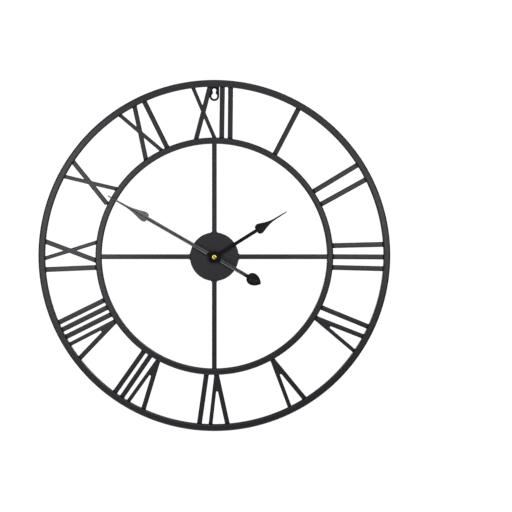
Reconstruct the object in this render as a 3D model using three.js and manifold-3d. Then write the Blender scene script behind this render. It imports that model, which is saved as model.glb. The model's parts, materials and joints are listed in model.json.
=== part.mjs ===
// A 600 mm open-frame wall clock: two square-bar rings joined by roman numerals, four spokes to a
// centre plate, a quartz movement behind the plate and two spade hands in front of it.
//
// Everything is laid out in dial coordinates, in mm: x to the right, y up and z out of the wall towards
// the viewer, with the hands' axis at x = y = 0 and the wall at z = 0. The exported group turns that
// into +Z up, so the dial looks along -Y. Clock angles run clockwise from 12.
import * as THREE from "three";
import { mergeVertices } from "three/addons/utils/BufferGeometryUtils.js";
import Module from "manifold-3d";

const wasm = await Module();
wasm.setup();

// ---------- driving dimensions ----------
const GAP = 0.3; // between pieces that touch
const CUT = 1; // how far a cutter runs past the face it cuts

const RING = { outer: 300, inner: 202.8, depth: 10, corner: 1.6, middle: 20 };
const OUTER_RING_INSIDE = RING.outer - 10.5;
const INNER_RING_INSIDE = RING.inner - 10;

const NUMERAL = { back: 18, front: 22 };
const I_WIDTH = 8;
const V = { thick: 7.6, thin: 6.2, halfAngle: 9.5, apex: 201, notch: 1.2 };
const X = { thick: 7.5, thin: 6, halfAngle: 19.3, cross: 246.5 };

const SPOKE = { width: 7, corner: 1 };
const PLATE = { radius: 41.75, back: 19, front: 21, hole: 4.3 };
const HANGER = { back: 12.7, front: 14.7, width: 15.8, top: 298 };
const KEYHOLE = { headRadius: 5.2, headY: 273.3, shankRadius: 3.6, shankY: 283.1, neck: 5.2 };

const CASE = { half: 28, corner: 4, wall: 1.5, split: 1.9, depth: 17, frontWall: 1.4 };
const COVER = { depth: 1.6, bossDepth: 2.3, socketBottom: 0.9 };
const SHELF = { top: -9.9, bottom: -11.1 }; // wall between the wheels and the battery
const BATTERY = { radius: 7.1, body: 49.2, nub: 1.3, nubRadius: 2.7, y: -18.8, z: 7.6 };

const BUSH = { radius: 4, bore: 2.8, flange: 6, back: 14.1, flangeFront: 15.25, front: 24.9 };
const HOUR_PIPE = { radius: 2.5, bore: 2, front: 27.7 };
const MINUTE_PIPE = { radius: 1.75, bore: 0.9, front: 32.2 };
const PIVOT = 0.5; // radius of the thin arbors
const SOCKET = 0.65; // radius of the holes they turn in

const HOUR_SHEET = { back: 26.4, front: 27.4 };
const MINUTE_SHEET = { back: 29, front: 30 };
const REST = { minute: 300, hour: 57.9 }; // clock angles of the hands

// Gears. A tooth stands "addendum" modules outside the pitch circle and "dedendum" inside it.
const TOOTH = { addendum: 0.8, dedendum: 1.1, rootShare: 0.28, tipShare: 0.1 };
const TEETH = {
  rotorPinion: 6,
  intermediate: 30,
  intermediatePinion: 6,
  second: 36,
  secondPinion: 6,
  third: 45,
  thirdPinion: 6,
  centre: 48,
  cannonPinion: 12,
  reverse: 36,
  reversePinion: 10,
  hour: 40,
};
// each off-centre arbor: the direction to it, in degrees anticlockwise from +x, and how far it is
const THIRD = { toward: 180, apart: 8.8 };
const INTERMEDIATE = { toward: 90, apart: 9.03 };
const REVERSE = { toward: 0, apart: 9.6 };
const ROTOR = { toward: 60, apart: 5.4 }; // from the intermediate arbor
// back and front of each layer of wheels
const LAYER = {
  intermediate: [2.8, 3.8],
  second: [4.4, 5.4],
  third: [6, 7],
  centre: [7.7, 8.7],
  trainPlate: [9.4, 10.2],
  reverse: [10.8, 11.8],
  hour: [12.6, 13.6],
};
const PINION_OVERHANG = 0.25; // a pinion is this much longer than the wheel it meshes with

// ---------- materials ----------
function paint(color, roughness, metalness) {
  return new THREE.MeshStandardMaterial({ color, roughness, metalness });
}
const MATERIAL = {
  powderCoat: paint(0x2d2d30, 0.6, 0.1),
  hangerCoat: paint(0x141415, 0.5, 0.1),
  handCoat: paint(0x232325, 0.45, 0.2),
  brass: paint(0xd8b04a, 0.25, 1),
  steel: paint(0xa8a9ab, 0.35, 1),
  rubber: paint(0x1b1b1b, 0.9, 0),
  casePlastic: paint(0x1c1c1e, 0.5, 0),
  wheelPlastic: paint(0xe9e4d6, 0.5, 0),
  board: paint(0x1f5a38, 0.5, 0),
  copper: paint(0xb4653a, 0.4, 0.8),
  magnet: paint(0x55565a, 0.4, 0.8),
  batterySleeve: paint(0x30466b, 0.4, 0.1),
};

// ---------- geometry helpers ----------
const radians = THREE.MathUtils.degToRad;

/** The point at a distance from a centre, with degrees anticlockwise from +x. */
function polar(distance, degrees, centre = new THREE.Vector2()) {
  const a = radians(degrees);
  return new THREE.Vector2(Math.cos(a), Math.sin(a)).multiplyScalar(distance).add(centre);
}

/** A flat shape made solid between two distances from the wall. */
function extrude(shape, back, front, curveSegments = 6) {
  const options = { depth: front - back, bevelEnabled: false, curveSegments };
  return new THREE.ExtrudeGeometry(shape, options).translate(0, 0, back);
}

/** A profile of [radius, z] points turned round the hands' axis, or round a line through centre. */
function turned(profile, segments, centre = new THREE.Vector2()) {
  const points = profile.map(([radius, z]) => new THREE.Vector2(radius, z));
  return new THREE.LatheGeometry(points, segments).rotateX(Math.PI / 2).translate(centre.x, centre.y, 0);
}

function rod(radius, back, front, segments = 12, centre = undefined) {
  return turned([[0, back], [radius, back], [radius, front], [0, front]], segments, centre);
}

function tube(bore, radius, back, front, segments = 24) {
  return turned([[bore, back], [radius, back], [radius, front], [bore, front], [bore, back]], segments);
}

/** A rectangle with quarter-round corners. */
function roundedRectangle(x0, y0, x1, y1, radius) {
  const shape = new THREE.Shape();
  shape.absarc(x1 - radius, y0 + radius, radius, -Math.PI / 2, 0);
  shape.absarc(x1 - radius, y1 - radius, radius, 0, Math.PI / 2);
  shape.absarc(x0 + radius, y1 - radius, radius, Math.PI / 2, Math.PI);
  shape.absarc(x0 + radius, y0 + radius, radius, Math.PI, 1.5 * Math.PI);
  shape.closePath();
  return shape;
}

function box(x0, y0, z0, x1, y1, z1) {
  return new THREE.BoxGeometry(x1 - x0, y1 - y0, z1 - z0).translate(
    (x0 + x1) / 2,
    (y0 + y1) / 2,
    (z0 + z1) / 2,
  );
}

function circleHole(shape, centre, radius) {
  shape.holes.push(new THREE.Path().absarc(centre.x, centre.y, radius, 0, 2 * Math.PI));
  return shape;
}

/** Six times the signed volume of an indexed geometry, negative if its faces point inwards. */
function signedVolume(geometry) {
  const { position } = geometry.attributes;
  const corners = [0, 1, 2].map(() => new THREE.Vector3());
  let sum = 0;
  for (let i = 0; i < geometry.index.count; i += 3) {
    corners.forEach((corner, n) => corner.fromBufferAttribute(position, geometry.index.getX(i + n)));
    sum += corners[0].dot(corners[1].cross(corners[2]));
  }
  return sum;
}

/** Joins a geometry's shared vertices and turns its faces outwards. */
function closed(geometry) {
  geometry.deleteAttribute("normal");
  geometry.deleteAttribute("uv");
  const merged = mergeVertices(geometry, 1e-4);
  const kept = [];
  for (let i = 0; i < merged.index.count; i += 3) {
    const [a, b, c] = [0, 1, 2].map((n) => merged.index.getX(i + n));
    if (a !== b && b !== c && c !== a) kept.push(a, b, c);
  }
  merged.setIndex(kept);
  if (signedVolume(merged) < 0) merged.setIndex(kept.reverse());
  return merged;
}

function solid(geometry) {
  const merged = closed(geometry);
  return new wasm.Manifold(
    new wasm.Mesh({
      numProp: 3,
      vertProperties: merged.attributes.position.array,
      triVerts: new Uint32Array(merged.index.array),
    }),
  );
}

function join(first, ...others) {
  return others.reduce((sum, other) => sum.add(other), first);
}

function cut(first, ...others) {
  return others.reduce((rest, other) => rest.subtract(other), first);
}

function geometryOf(made) {
  const mesh = made.getMesh();
  return new THREE.BufferGeometry()
    .setAttribute("position", new THREE.BufferAttribute(mesh.vertProperties, 3))
    .setIndex(new THREE.BufferAttribute(mesh.triVerts, 1));
}

const dial = new THREE.Group();

/** Adds one named piece, from a geometry or from a manifold solid. */
function piece(name, shape, material, parent = dial) {
  const geometry = closed(shape.isBufferGeometry ? shape : geometryOf(shape)).toNonIndexed();
  geometry.computeVertexNormals();
  const mesh = new THREE.Mesh(geometry, material);
  mesh.name = name;
  parent.add(mesh);
  return mesh;
}

// ---------- the welded frame ----------
function squareRing(outerRadius, inside, segments) {
  const half = RING.depth / 2;
  const [back, front] = [RING.middle - half, RING.middle + half];
  const c = RING.corner;
  const profile = [
    [inside + c, back],
    [outerRadius - c, back],
    [outerRadius, back + c],
    [outerRadius, front - c],
    [outerRadius - c, front],
    [inside + c, front],
    [inside, front - c],
    [inside, back + c],
    [inside + c, back],
  ];
  return turned(profile, segments);
}

function addSpoke(name, clockAngle) {
  const half = SPOKE.width / 2;
  const section = roundedRectangle(-half, -half, half, half, SPOKE.corner);
  const start = PLATE.radius + GAP;
  const geometry = extrude(section, start, INNER_RING_INSIDE - GAP - 0.05, 2).rotateX(-Math.PI / 2);
  const spoke = piece(name, geometry, MATERIAL.powderCoat);
  spoke.position.z = RING.middle;
  spoke.rotation.z = -radians(clockAngle);
}

function addCentrePlate() {
  const disc = new THREE.Shape().absarc(0, 0, PLATE.radius, 0, 2 * Math.PI);
  circleHole(disc, new THREE.Vector2(), PLATE.hole);
  piece("centre_plate", extrude(disc, PLATE.back, PLATE.front, 28), MATERIAL.powderCoat);
}

/** The sheet-metal hanger behind the top of the outer ring, with a hole for a screw's head and a
 * narrower slot above it for its shank. */
function addHanger() {
  const half = HANGER.width / 2;
  const { headRadius, headY, shankRadius, shankY, neck } = KEYHOLE;
  const outline = new THREE.Shape();
  outline.absarc(0, headY, half, Math.PI, 2 * Math.PI);
  outline.lineTo(half, HANGER.top);
  outline.lineTo(-half, HANGER.top);
  outline.closePath();
  const headTurn = Math.asin(neck / 2 / headRadius);
  const shankTurn = Math.asin(neck / 2 / shankRadius);
  const hole = new THREE.Path();
  hole.absarc(0, headY, headRadius, Math.PI / 2 + headTurn, 2.5 * Math.PI - headTurn);
  hole.absarc(0, shankY, shankRadius, -Math.PI / 2 + shankTurn, 1.5 * Math.PI - shankTurn);
  hole.closePath();
  outline.holes.push(hole);
  piece("keyhole_hanger", extrude(outline, HANGER.back, HANGER.front, 9), MATERIAL.hangerCoat);
}

// ---------- numerals ----------
// A numeral's own frame has v outwards along its hour line from the dial's centre, and u clockwise.

/** A straight stroke through a point, leaning clockwise by some degrees, with its two edges. */
function stroke(through, lean, width) {
  const along = new THREE.Vector2(Math.sin(radians(lean)), Math.cos(radians(lean)));
  const across = new THREE.Vector2(along.y, -along.x).multiplyScalar(width / 2);
  return {
    along,
    left: through.clone().sub(across),
    right: through.clone().add(across),
  };
}

/** Where an edge of a stroke crosses a circle round the dial's centre, on its outward side. */
function onCircle(from, along, radius) {
  const b = from.dot(along);
  const reach = -b + Math.sqrt(b * b - from.lengthSq() + radius * radius);
  return from.clone().addScaledVector(along, reach);
}

/** Where two edges cross. */
function crossing(p, alongP, q, alongQ) {
  const d = q.clone().sub(p);
  const t = d.cross(alongQ) / alongP.cross(alongQ);
  return p.clone().addScaledVector(alongP, t);
}

const OUTER_END = OUTER_RING_INSIDE - GAP;
const INNER_END = RING.inner + GAP + 0.05;

function barOutline(inner, outer) {
  const start = new THREE.Vector2(inner, RING.inner);
  const run = new THREE.Vector2(outer, OUTER_RING_INSIDE).sub(start);
  const bar = stroke(start, THREE.MathUtils.radToDeg(Math.atan2(run.x, run.y)), I_WIDTH);
  const ends = (edge) => [INNER_END, OUTER_END].map((radius) => onCircle(edge, bar.along, radius));
  const [leftIn, leftOut] = ends(bar.left);
  const [rightIn, rightOut] = ends(bar.right);
  return [leftIn, rightIn, rightOut, leftOut];
}

function vOutline(apex, lean) {
  const point = new THREE.Vector2(apex, V.apex);
  const thick = stroke(point, lean - V.halfAngle, V.thick);
  const thin = stroke(point, lean + V.halfAngle, V.thin);
  return [
    onCircle(thick.left, thick.along, INNER_END),
    onCircle(thin.right, thin.along, INNER_END),
    onCircle(thin.right, thin.along, OUTER_END),
    onCircle(thin.left, thin.along, OUTER_END),
    ...roundedNotch(crossing(thin.left, thin.along, thick.right, thick.along), thin.along, thick.along),
    onCircle(thick.right, thick.along, OUTER_END),
    onCircle(thick.left, thick.along, OUTER_END),
  ];
}

/** The notch between two edges, rounded: where its arc starts, its middle and where it ends. */
function roundedNotch(corner, first, second) {
  const middle = first.clone().add(second).normalize();
  const half = radians(V.halfAngle);
  const along = V.notch / Math.tan(half);
  return [
    corner.clone().addScaledVector(first, along),
    corner.clone().addScaledVector(middle, V.notch / Math.sin(half) - V.notch),
    corner.clone().addScaledVector(second, along),
  ];
}

function xOutline(middle, lean) {
  const point = new THREE.Vector2(middle, X.cross);
  const thick = stroke(point, lean + X.halfAngle, X.thick);
  const thin = stroke(point, lean - X.halfAngle, X.thin);
  const end = (s, side, radius) => onCircle(s[side], s.along, radius);
  const notch = (a, b) => crossing(thick[a], thick.along, thin[b], thin.along);
  return [
    end(thick, "left", INNER_END),
    end(thick, "right", INNER_END),
    notch("right", "left"),
    end(thin, "left", INNER_END),
    end(thin, "right", INNER_END),
    notch("right", "right"),
    end(thick, "right", OUTER_END),
    end(thick, "left", OUTER_END),
    notch("left", "right"),
    end(thin, "right", OUTER_END),
    end(thin, "left", OUTER_END),
    notch("left", "left"),
  ];
}

// Strokes of each hour, clockwise. "i" gives the offsets of a bar at the inner and the outer ring;
// "v" and "x" give the offset of the apex or crossing and the lean of the letter.
const NUMERALS = {
  12: [["x", -18.7, -4.2], ["i", 12.5, 13.7], ["i", 26.9, 27.5]],
  1: [["i", 1.9, -2.2]],
  2: [["i", -12, -13.7], ["i", 13.4, 14.8]],
  3: [["i", -19, -21.1], ["i", 0, 0.4], ["i", 18.4, 20.5]],
  4: [["i", -16.3, -28.1], ["v", 4.5, 0.75]],
  5: [["v", 2.4, 0]],
  6: [["v", -3.4, -3], ["i", 13.6, 26]],
  7: [["v", -5.2, -3.8], ["i", 10, 16.9], ["i", 23.5, 31.4]],
  8: [["v", -10.5, -6.9], ["i", 2.7, 7.9], ["i", 16.4, 21.7], ["i", 29.8, 35.4]],
  9: [["i", -18.5, -22.1], ["x", 10.4, 1.75]],
  10: [["x", 3.6, 2.4]],
  11: [["x", -3.2, -0.9], ["i", 23.7, 29.1]],
};
const OUTLINE = { i: barOutline, v: vOutline, x: xOutline };

function addNumeral(hour, strokes) {
  const numeral = new THREE.Group();
  numeral.rotation.z = -radians(30 * hour);
  dial.add(numeral);
  const bars = strokes.filter(([letter]) => letter === "i").length;
  let bar = 0;
  for (const [letter, first, second] of strokes) {
    const shape = new THREE.Shape(OUTLINE[letter](first, second));
    const number = letter === "i" && bars > 1 ? ++bar : "";
    const name = `numeral_${hour}_${letter}${number}`;
    piece(name, extrude(shape, NUMERAL.back, NUMERAL.front), MATERIAL.powderCoat, numeral);
  }
}

// ---------- hands ----------
/** A closed shape from the right half of a symmetric outline that starts and ends at x = 0. */
function mirroredShape(half, divisions) {
  const right = half.getPoints(divisions);
  const left = right
    .slice(1, -1)
    .reverse()
    .map((p) => new THREE.Vector2(-p.x, p.y));
  return new THREE.Shape([...right, ...left]);
}

/** The arm, the spade on it and its needle, from the boss outwards. */
function spadeHalf(path, { arm, base, widest, lobe, needleStart, needle, tip }) {
  const side = widest / 2;
  path.lineTo(arm / 2, base);
  path.bezierCurveTo(arm / 2 + 3.2, base - 0.8, side, base + lobe - 3.1, side, base + lobe);
  path.bezierCurveTo(side, base + lobe + 5.6, needle / 2, needleStart - 18.4, needle / 2, needleStart);
  path.lineTo(needle * 0.3, tip - 0.4);
  path.lineTo(0, tip);
}

const MINUTE_HAND = {
  arm: 5.7,
  boss: 10,
  base: 131.3,
  widest: 16.5,
  lobe: 6.3,
  needleStart: 176.5,
  needle: 2.2,
  tip: 210.3,
  leaf: { base: 65.4, widest: 20.4, lobe: 9.6, tip: 91.5 },
};
const HOUR_HAND = {
  arm: 5.4,
  boss: 9.5,
  base: 84.7,
  widest: 17.3,
  lobe: 5.9,
  needleStart: 124.4,
  needle: 2,
  tip: 145.9,
};

function minuteHandShape() {
  const { arm, boss, leaf } = MINUTE_HAND;
  const half = new THREE.Path().moveTo(0, -leaf.tip);
  const turn = Math.acos(arm / 2 / boss);
  const side = leaf.widest / 2;
  const widestAt = -leaf.base - leaf.lobe;
  half.bezierCurveTo(6, -leaf.tip + 3.7, side, widestAt - 6.3, side, widestAt);
  half.bezierCurveTo(side, widestAt + 4.7, arm / 2 + 3.7, -leaf.base, arm / 2, -leaf.base);
  half.absarc(0, 0, boss, -turn, turn);
  spadeHalf(half, MINUTE_HAND);
  return mirroredShape(half, 5);
}

function hourHandShape() {
  const { arm, boss } = HOUR_HAND;
  const half = new THREE.Path();
  half.absarc(0, 0, boss, -Math.PI / 2, Math.acos(arm / 2 / boss));
  spadeHalf(half, HOUR_HAND);
  return mirroredShape(half, 7);
}

function addHand(name, shape, holeRadius, sheet, clockAngle) {
  circleHole(shape, new THREE.Vector2(), holeRadius);
  const hand = piece(name, extrude(shape, sheet.back, sheet.front, 5), MATERIAL.handCoat);
  hand.rotation.z = -radians(clockAngle);
}

function addHands() {
  addHand("hour_hand", hourHandShape(), 3.9, HOUR_SHEET, REST.hour);
  addHand("minute_hand", minuteHandShape(), MINUTE_PIPE.radius + GAP, MINUTE_SHEET, REST.minute);
  const bore = HOUR_PIPE.radius + GAP;
  const collet = [
    [bore, 25.2],
    [5.5, 25.2],
    [5.5, 26.1],
    [3.6, 26.1],
    [3.6, 27.9],
    [bore, 27.9],
    [bore, 25.2],
  ];
  piece("hour_hand_collet", turned(collet, 24), MATERIAL.brass);
  const nutBore = MINUTE_PIPE.radius + GAP;
  const nut = [
    [nutBore, 30.3],
    [3.9, 30.3],
    [3.9, 31.9],
    [3.2, 32.5],
    [nutBore, 32.5],
    [nutBore, 30.3],
  ];
  piece("minute_nut", turned(nut, 24), MATERIAL.brass);
}

// ---------- movement: case, fixing and battery ----------
const arborAt = {
  centre: new THREE.Vector2(),
  third: polar(THIRD.apart, THIRD.toward),
  intermediate: polar(INTERMEDIATE.apart, INTERMEDIATE.toward),
  reverse: polar(REVERSE.apart, REVERSE.toward),
};
arborAt.rotor = polar(ROTOR.apart, ROTOR.toward, arborAt.intermediate);

const KNOB = { radius: 5, back: 0.2, front: 3.6, hole: 5.5 };
const BAY = { x: 26.5, y0: -26.3, y1: SHELF.bottom };

function addCase() {
  const { half, corner, wall, depth, split, frontWall } = CASE;
  const inside = half - wall;
  const outer = solid(extrude(roundedRectangle(-half, -half, half, half, corner), split, depth, 3));
  const wheels = solid(box(-inside, SHELF.top, split - CUT, inside, inside, depth - frontWall));
  const bay = solid(box(-BAY.x, BAY.y0, split - CUT, BAY.x, BAY.y1, depth - frontWall + 0.15));
  const bushHole = solid(rod(BUSH.radius + GAP, depth - frontWall - CUT, depth + CUT, 24));
  piece("movement_case_front", cut(outer, wheels, bay, bushHole), MATERIAL.casePlastic);

  const cover = roundedRectangle(-half, -half, half, half, corner);
  circleHole(cover, arborAt.reverse, KNOB.hole);
  const opening = [[-25.6, -26.1], [-25.6, -11.4], [25.6, -11.4], [25.6, -26.1]];
  cover.holes.push(new THREE.Path(opening.map(([x, y]) => new THREE.Vector2(x, y))));
  let back = solid(extrude(cover, 0, COVER.depth, 10));
  for (const arbor of ["centre", "third", "intermediate", "rotor"]) {
    const boss = solid(rod(1.5, COVER.depth - 0.2, COVER.bossDepth, 12, arborAt[arbor]));
    const socket = solid(rod(SOCKET, COVER.socketBottom, COVER.bossDepth + CUT, 12, arborAt[arbor]));
    back = cut(join(back, boss), socket);
  }
  piece("movement_case_back", back, MATERIAL.casePlastic);
}

function hexagon(acrossFlats) {
  const corners = [0, 1, 2, 3, 4, 5].map((n) => polar(acrossFlats / Math.sqrt(3), 60 * n));
  return new THREE.Shape(corners);
}

function addFixing() {
  const { radius, bore, flange, back, flangeFront, front } = BUSH;
  const bush = [
    [bore, back],
    [flange, back],
    [flange, flangeFront],
    [radius, flangeFront],
    [radius, front],
    [bore, front],
    [bore, back],
  ];
  piece("threaded_bush", turned(bush, 24), MATERIAL.brass);
  const hole = radius + GAP;
  piece("rubber_washer", tube(hole, 10, CASE.depth + GAP, PLATE.back - GAP), MATERIAL.rubber);
  piece("brass_washer", tube(hole, 8, PLATE.front + GAP, 21.9), MATERIAL.brass);
  const nut = circleHole(hexagon(13), new THREE.Vector2(), hole);
  piece("hex_nut", extrude(nut, 22.2, 24.6, 6), MATERIAL.brass);
}

function addBattery() {
  const { radius, body, nub, nubRadius, y, z } = BATTERY;
  const start = -(body + nub) / 2;
  const profile = [[0, start], [radius, start], [radius, start + body], [nubRadius, start + body],
    [nubRadius, start + body + nub], [0, start + body + nub]];
  const battery = piece("battery", turned(profile, 20).rotateY(Math.PI / 2), MATERIAL.batterySleeve);
  battery.position.set(0, y, z);
  piece("battery_contact_plus", box(25.6, -23, 3, 26.2, -14.6, 13), MATERIAL.steel);
  piece("battery_contact_minus", box(-26.2, -24, 3, -25.6, -13.6, 13), MATERIAL.steel);
}

// ---------- movement: wheels ----------
/** A gear's outline, with a tooth pointing in the given direction. */
function gearShape(teeth, module, toothToward) {
  const pitch = 360 / teeth;
  const tip = module * (teeth / 2 + TOOTH.addendum);
  const root = module * (teeth / 2 - TOOTH.dedendum);
  const points = [];
  for (let n = 0; n < teeth; n++) {
    const middle = toothToward + n * pitch;
    points.push(polar(root, middle - pitch * TOOTH.rootShare));
    points.push(polar(tip, middle - pitch * TOOTH.tipShare));
    points.push(polar(tip, middle + pitch * TOOTH.tipShare));
    points.push(polar(root, middle + pitch * TOOTH.rootShare));
  }
  return new THREE.Shape(points);
}

function gear(teeth, module, toothToward, back, front, at = new THREE.Vector2()) {
  return solid(extrude(gearShape(teeth, module, toothToward), back, front).translate(at.x, at.y, 0));
}

/** The module with which two gears mesh at a distance. */
function moduleFor(apart, teethA, teethB) {
  return (2 * apart) / (teethA + teethB);
}

/** The direction of a tooth, so that the gap beside it faces a neighbour's tooth. */
function gapToward(direction, teeth) {
  return direction + 180 / teeth;
}

function pinionSpan([back, front]) {
  return [back - PINION_OVERHANG, front + PINION_OVERHANG];
}

const MODULE = {
  rotor: moduleFor(ROTOR.apart, TEETH.rotorPinion, TEETH.intermediate),
  intermediate: moduleFor(INTERMEDIATE.apart, TEETH.intermediatePinion, TEETH.second),
  second: moduleFor(THIRD.apart, TEETH.secondPinion, TEETH.third),
  third: moduleFor(THIRD.apart, TEETH.thirdPinion, TEETH.centre),
  cannon: moduleFor(REVERSE.apart, TEETH.cannonPinion, TEETH.reverse),
  hour: moduleFor(REVERSE.apart, TEETH.reversePinion, TEETH.hour),
};
const ARBOR_BACK = COVER.socketBottom + GAP;
const ARBOR_FRONT = LAYER.trainPlate[1] - 0.2;

function addRotor() {
  const at = arborAt.rotor;
  const [back, front] = pinionSpan(LAYER.intermediate);
  const toward = gapToward(ROTOR.toward + 180, TEETH.rotorPinion);
  const pinion = gear(TEETH.rotorPinion, MODULE.rotor, toward, back, front, at);
  const magnet = solid(rod(2.2, 5, 8, 16, at));
  const arbor = solid(rod(PIVOT, ARBOR_BACK, ARBOR_FRONT, 12, at));
  piece("rotor", join(arbor, pinion, magnet), MATERIAL.magnet);
}

function addIntermediateWheel() {
  const at = arborAt.intermediate;
  const [back, front] = LAYER.intermediate;
  const wheel = gear(TEETH.intermediate, MODULE.rotor, ROTOR.toward, back, front, at);
  const toward = gapToward(INTERMEDIATE.toward + 180, TEETH.intermediatePinion);
  const pinionFront = pinionSpan(LAYER.second)[1];
  const pinion = gear(TEETH.intermediatePinion, MODULE.intermediate, toward, front - 0.1, pinionFront, at);
  const arbor = solid(rod(PIVOT, ARBOR_BACK, ARBOR_FRONT, 12, at));
  piece("intermediate_wheel", join(arbor, wheel, pinion), MATERIAL.wheelPlastic);
}

function addSecondWheel() {
  const [back, front] = LAYER.second;
  const wheel = gear(TEETH.second, MODULE.intermediate, INTERMEDIATE.toward, back, front);
  const pinionFront = pinionSpan(LAYER.third)[1];
  const pinion = gear(TEETH.secondPinion, MODULE.second, THIRD.toward, front - 0.1, pinionFront);
  const arbor = solid(rod(PIVOT, ARBOR_BACK, ARBOR_FRONT, 12));
  piece("second_wheel", join(arbor, wheel, pinion), MATERIAL.wheelPlastic);
}

function addThirdWheel() {
  const at = arborAt.third;
  const [back, front] = LAYER.third;
  const toCentre = THIRD.toward + 180;
  const wheel = gear(TEETH.third, MODULE.second, gapToward(toCentre, TEETH.third), back, front, at);
  const pinionFront = pinionSpan(LAYER.centre)[1];
  const toward = gapToward(toCentre, TEETH.thirdPinion);
  const pinion = gear(TEETH.thirdPinion, MODULE.third, toward, front - 0.1, pinionFront, at);
  const arbor = solid(rod(PIVOT, ARBOR_BACK, ARBOR_FRONT, 12, at));
  piece("third_wheel", join(arbor, wheel, pinion), MATERIAL.wheelPlastic);
}

/** The wheel that carries the minute hand on its pipe, and the cannon pinion in front of it. */
function addCentreWheel() {
  const [back, front] = LAYER.centre;
  const wheel = gear(TEETH.centre, MODULE.third, THIRD.toward, back, front);
  const [pinionBack, pinionFront] = pinionSpan(LAYER.reverse);
  const pinion = gear(TEETH.cannonPinion, MODULE.cannon, REVERSE.toward, pinionBack, pinionFront);
  const pipe = solid(rod(MINUTE_PIPE.radius, back, MINUTE_PIPE.front, 20));
  const bore = solid(rod(MINUTE_PIPE.bore, back - CUT, MINUTE_PIPE.front + CUT, 16));
  piece("centre_wheel", cut(join(pipe, wheel, pinion), bore), MATERIAL.brass);
}

function addReverseWheel() {
  const at = arborAt.reverse;
  const [back, front] = LAYER.reverse;
  const toCentre = REVERSE.toward + 180;
  const wheel = gear(TEETH.reverse, MODULE.cannon, gapToward(toCentre, TEETH.reverse), back, front, at);
  const toward = gapToward(toCentre, TEETH.reversePinion);
  const pinionFront = pinionSpan(LAYER.hour)[1];
  const pinion = gear(TEETH.reversePinion, MODULE.hour, toward, front - 0.1, pinionFront, at);
  const bore = solid(rod(0.8 + GAP, back - CUT, pinionFront + CUT, 12, at));
  piece("reverse_minute_wheel", cut(join(wheel, pinion), bore), MATERIAL.wheelPlastic);
}

function addHourWheel() {
  const [back, front] = LAYER.hour;
  const wheel = gear(TEETH.hour, MODULE.hour, REVERSE.toward, back, front);
  const pipe = solid(rod(HOUR_PIPE.radius, back, HOUR_PIPE.front, 24));
  const bore = solid(rod(HOUR_PIPE.bore, back - CUT, HOUR_PIPE.front + CUT, 24));
  piece("hour_wheel", cut(join(pipe, wheel), bore), MATERIAL.wheelPlastic);
}

/** The knob at the back that sets the hands, on the arbor of the reverse minute wheel. */
function addSettingKnob() {
  const { radius, back, front } = KNOB;
  const grooves = 18;
  const rim = [];
  for (let n = 0; n < grooves; n++) {
    const pitch = 360 / grooves;
    rim.push(polar(radius, (n - 0.3) * pitch), polar(radius, (n + 0.3) * pitch));
    rim.push(polar(radius - 0.5, (n + 0.5) * pitch));
  }
  const { x, y } = arborAt.reverse;
  const disc = solid(extrude(new THREE.Shape(rim), back, front).translate(x, y, 0));
  const arbor = solid(rod(0.8, front - 0.1, LAYER.hour[1], 12, arborAt.reverse));
  piece("setting_knob", join(disc, arbor), MATERIAL.casePlastic);
}

// ---------- movement: train plate, motor and circuit ----------
function addTrainPlate() {
  const shape = roundedRectangle(-25, -8.8, 25, 17.9, 2);
  circleHole(shape, arborAt.centre, MINUTE_PIPE.radius + 0.2);
  circleHole(shape, arborAt.reverse, 1);
  for (const arbor of ["third", "intermediate", "rotor"]) circleHole(shape, arborAt[arbor], SOCKET);
  piece("train_plate", extrude(shape, ...LAYER.trainPlate, 8), MATERIAL.casePlastic);
}

const CORE = { y0: 20.4, y1: 23.5, back: 6, front: 7 };

/** The motor's iron: a closed loop with a round hole for the rotor and a straight core for the coil. */
function addMotor() {
  const loop = roundedRectangle(-2.6, 10.2, 24, CORE.y1, 0.8);
  circleHole(loop, arborAt.rotor, 2.8);
  const window_ = [[0.4, 17.6], [21, 17.6], [21, CORE.y0], [0.4, CORE.y0]];
  loop.holes.push(new THREE.Path(window_.map(([x, y]) => new THREE.Vector2(x, y))));
  piece("stator", extrude(loop, CORE.back, CORE.front, 4), MATERIAL.steel);

  const middle = new THREE.Vector2((CORE.back + CORE.front) / 2, (CORE.y0 + CORE.y1) / 2);
  const winding = new THREE.Shape().absarc(middle.x, middle.y, 3.1, 0, 2 * Math.PI);
  const slot = [
    [CORE.back - GAP, CORE.y0 - GAP],
    [CORE.back - GAP, CORE.y1 + GAP],
    [CORE.front + GAP, CORE.y1 + GAP],
    [CORE.front + GAP, CORE.y0 - GAP],
  ];
  winding.holes.push(new THREE.Path(slot.map(([x, y]) => new THREE.Vector2(x, y))));
  // drawn with z to the right and y up, then turned to run along x
  piece("coil", extrude(winding, -18.5, -3, 8).rotateY(-Math.PI / 2), MATERIAL.copper);
}

function addCircuit() {
  const [back, front] = [10.8, 11.8];
  const board = solid(box(-25, 11.5, back, -8, 25.5, front));
  const chip = solid(rod(2.6, front - 0.1, 13.2, 12, new THREE.Vector2(-19.5, 15.8)));
  piece("circuit_board", join(board, chip), MATERIAL.board);
  const can = rod(1, -15, -9.4, 10).rotateY(Math.PI / 2).translate(0, 21.5, front + GAP + 1);
  piece("quartz_crystal", can, MATERIAL.steel);
}

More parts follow.
